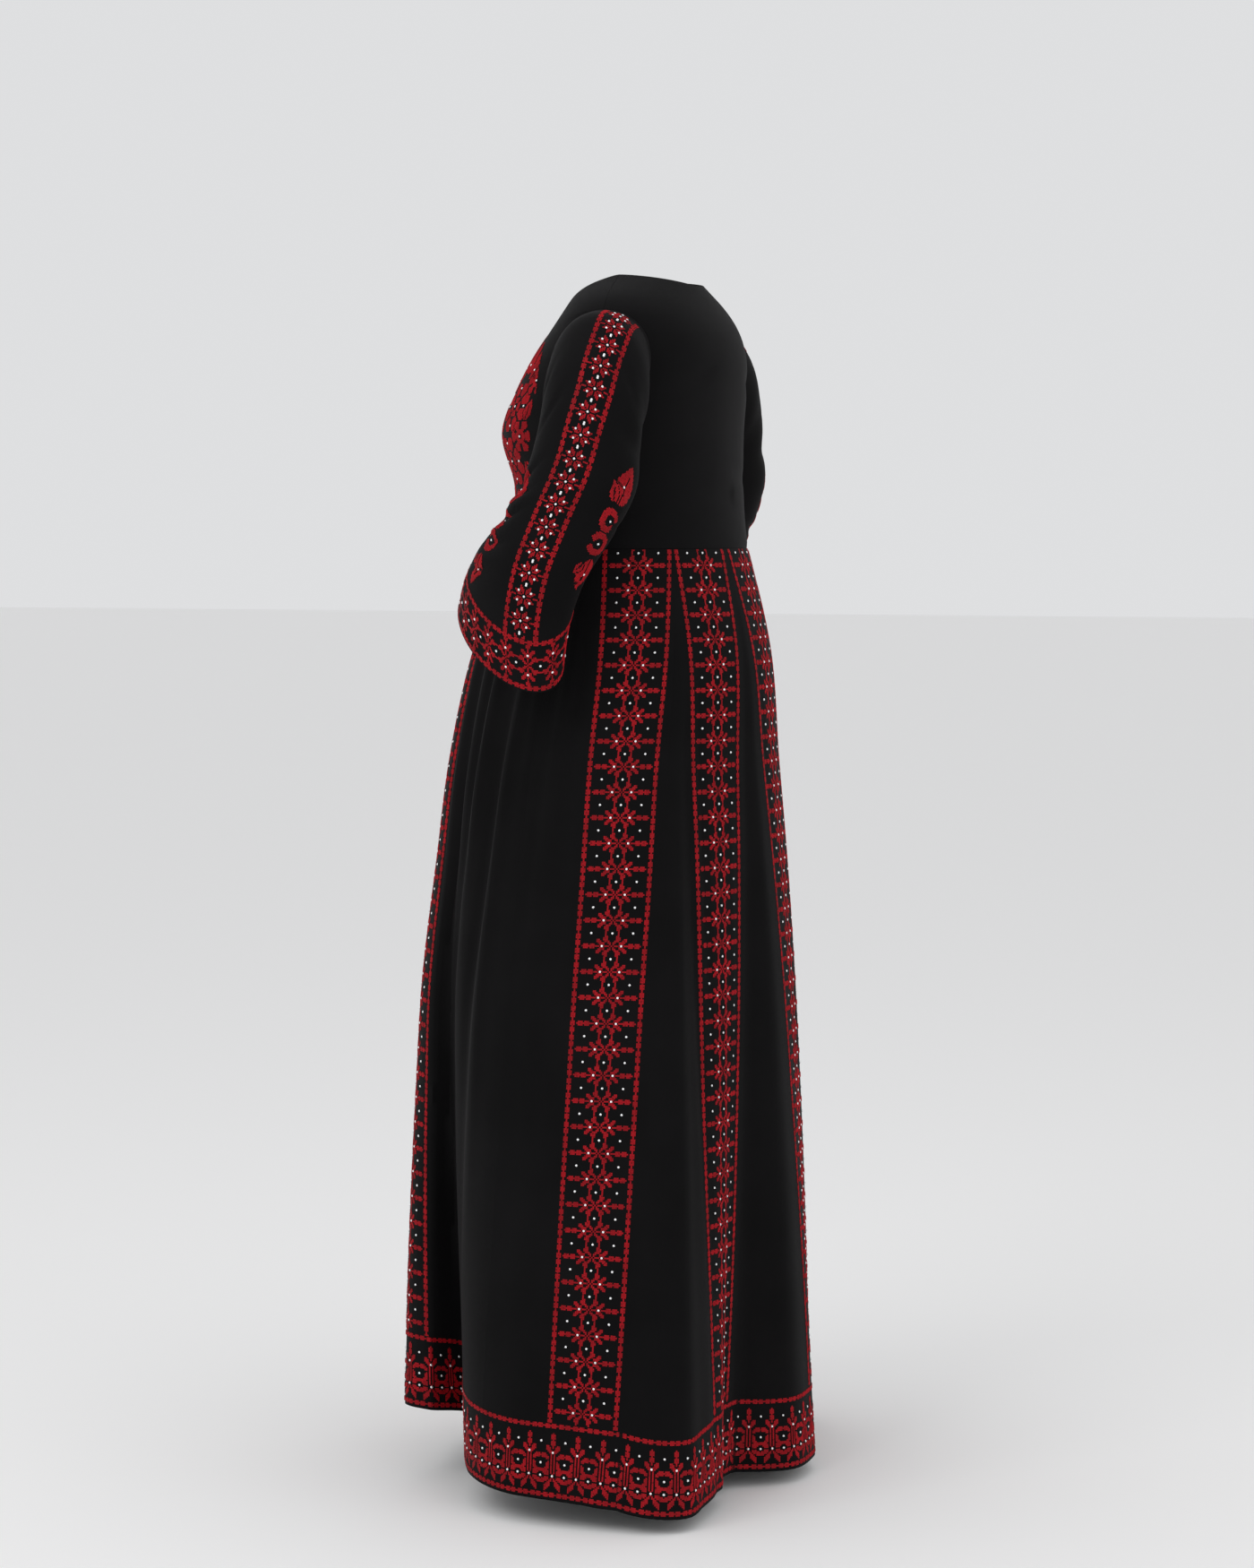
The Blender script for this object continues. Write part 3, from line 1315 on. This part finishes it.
chest_spots = np.stack([across, up], axis=-1).astype(float)
for name, beyond, nodes in (("chest_embroidery", 0.0, ("chest_panel",)), ("chest_edge_flowers", 6.0, ())):
    embroider(
        "bodice_front", name, chest_base, in_chest(chest_spots, beyond), in_chest(gem_spots, beyond),
        (STITCH, STITCH), (0, chest_down), *nodes,
    )

# The sleeves

sleeve_turns = np.linspace(-179.8, 179.8, 74)
sleeve_down = [(0, away) for away in (0, 0.0018, 0.0040, 0.0068, 0.0105)]
sleeve_down += [(part, 0.0105 * (1 - part)) for part in np.linspace(0, 1, 62)[1:]]
star_chart = quarter_turned(EIGHT_POINT_STAR, True)
cuff_chart = quarter_turned([row[:13] for row in STAR_AND_BRANCH], False)
across, up = drawn(SLEEVE_FLOWERS, np.arange(-11, 12), np.arange(-SPRAY_ROWS, 34))
sleeve_spray = np.stack([across, -up], axis=-1).astype(float)
band_down = [(part, 0.0) for part in np.linspace(0, 1, 150)]
for side in ("left", "right"):
    turned = np.array if side == "left" else mirrored
    sleeve = "sleeve_" + side
    points = np.concatenate([turned_in(-sleeve_turns), sleeve_rows(-sleeve_turns, sleeve_down)])
    lay_cloth(sleeve, turned(points))

    # Star band down the outer line
    band_turns = -np.linspace(-34, 34, 41) + STAR_BAND_TURN
    base = evened(turned(sleeve_rows(band_turns, band_down)), np.linspace(-0.0240, 0.0240, 25))
    rows = int((base[1][-1] - CUFF_BAND - STAR_BAND_START) / STITCH) + 1
    stitches, gems = edged_band(star_chart, STAR_BAND_COLUMNS, rows, (3, -4))
    embroider(
        sleeve, f"sleeve_band_{side}_embroidery", base, stitches, gems,
        (STAR_PITCH, STITCH), ((1 - STAR_BAND_COLUMNS) / 2 * STAR_PITCH, STAR_BAND_START),
        "sleeve_band_" + side,
    )

    # Cuff band round the mouth
    cuff_turns = -np.linspace(-180, 180, 241)
    cuff_down = [(1, -away) for away in np.linspace(CUFF_BAND, 0.0003, 20)]
    points = turned(sleeve_rows(cuff_turns, cuff_down))
    length = run(points, 1)[10]
    base = closed_ground(length, np.linspace(0, CUFF_BAND, 20), points, 6)
    repeats = round(length[-1] / STITCH / len(cuff_chart))
    pitch = length[-1] / (repeats * len(cuff_chart))
    stitches, gems = repeated(cuff_chart, repeats, (0, len(cuff_chart)), (BORDER_COLUMNS, 0))
    edge = border(repeats * len(cuff_chart), (0, BORDER_COLUMNS + len(cuff_chart[0])))
    embroider(
        sleeve, f"cuff_band_{side}_embroidery", base, np.concatenate([stitches, edge])[:, ::-1],
        gems[:, ::-1], (pitch, STITCH), (pitch / 2, STITCH), "cuff_band_" + side,
    )

    # Scrolls and leaves at the back and front edges of the sleeve
    for place, turn, lower in SPRAYS:
        turns = turn - np.linspace(-34, 34, 31)
        base = evened(turned(sleeve_rows(turns, band_down)), np.linspace(-0.020, 0.020, 21))
        start = base[1][-1] - CUFF_BAND - (SPRAY_ROWS - lower) * STITCH
        spots = sleeve_spray[sleeve_spray[:, 1] < SPRAY_ROWS - 2 - lower]
        gems = np.array(SLEEVE_STONES, float)
        embroider(sleeve, f"{sleeve}_{place}_scroll", base, spots, gems, (STITCH, STITCH), (0, start))

all_stones = np.concatenate(stones)
joined_copies("stones", CUT_STONE, all_stones, [STONE], np.zeros(len(all_stones)))

for name, (piece, (flat, area)) in cloths.items():
    held = "hung" if name.startswith("skirt") else "draped"
    above = ["bodice_front_cloth", "bodice_back_cloth"] if name.startswith(("skirt", "sleeve")) else []
    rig.sheet(piece, flat=flat, held=held, rests_on=above, area=area, with_pieces=worked[name])

# Floor, light and camera

floor = made(bpy.ops.mesh.primitive_plane_add, size=80, location=(0, 0, -1.400))
floor.name = "floor"
floor.data.materials.append(new_material("pale_floor", (0.93, 0.925, 0.92), 0.85))
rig.stage(floor)

world = bpy.data.worlds.new("pale_studio")
bpy.context.scene.world = world
world.use_nodes = True
world.node_tree.nodes["Background"].inputs["Color"].default_value = (0.735, 0.740, 0.750, 1)
world.node_tree.nodes["Background"].inputs["Strength"].default_value = 1.0
bpy.context.scene.view_settings.view_transform = "Standard"

AZIMUTH = math.radians(110)
PITCH = math.radians(3.91)
DISTANCE = 4.5
CAMERA_Z = -0.286
FRAME_HEIGHT = 1750
FOCAL_LENGTH = 4286
AXIS_ASIDE = -12 / 952
toward = Vector((math.sin(AZIMUTH), -math.cos(AZIMUTH), 0))
right = Vector((math.cos(AZIMUTH), math.sin(AZIMUTH), 0))


def lamp(name, where, size, power):
    light = made(bpy.ops.object.light_add, type="AREA", location=where)
    light.name = name
    light.data.size = size
    light.data.energy = power
    light.rotation_euler = (Vector(where) - Vector((0, 0, -0.7))).to_track_quat("Z", "Y").to_euler()


lamp("key_light", toward * 2.6 - right * 2.2 + Vector((0, 0, 1.9)), 2.2, 34)
lamp("fill_light", toward * 2.4 + right * 2.6 + Vector((0, 0, 0.6)), 2.6, 12)
lamp("top_light", Vector((0, 0, 2.6)), 2.4, 8)

camera = made(bpy.ops.object.camera_add)
camera.location = right * AXIS_ASIDE + toward * DISTANCE + Vector((0, 0, CAMERA_Z))
back = Vector((math.sin(AZIMUTH) * math.cos(PITCH), -math.cos(AZIMUTH) * math.cos(PITCH), math.sin(PITCH)))
camera.rotation_euler = back.to_track_quat("Z", "Y").to_euler()
camera.data.sensor_fit = "VERTICAL"
camera.data.sensor_height = 24
camera.data.lens = 24 * FOCAL_LENGTH / FRAME_HEIGHT
bpy.context.scene.camera = camera

with open("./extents.json", "w") as sizes:
    json.dump({
        "cad": [[float(c) for c in corner] for corner in cad_box],
        "visual": [[float(c) for c in corner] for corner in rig.bounds()],
    }, sizes)
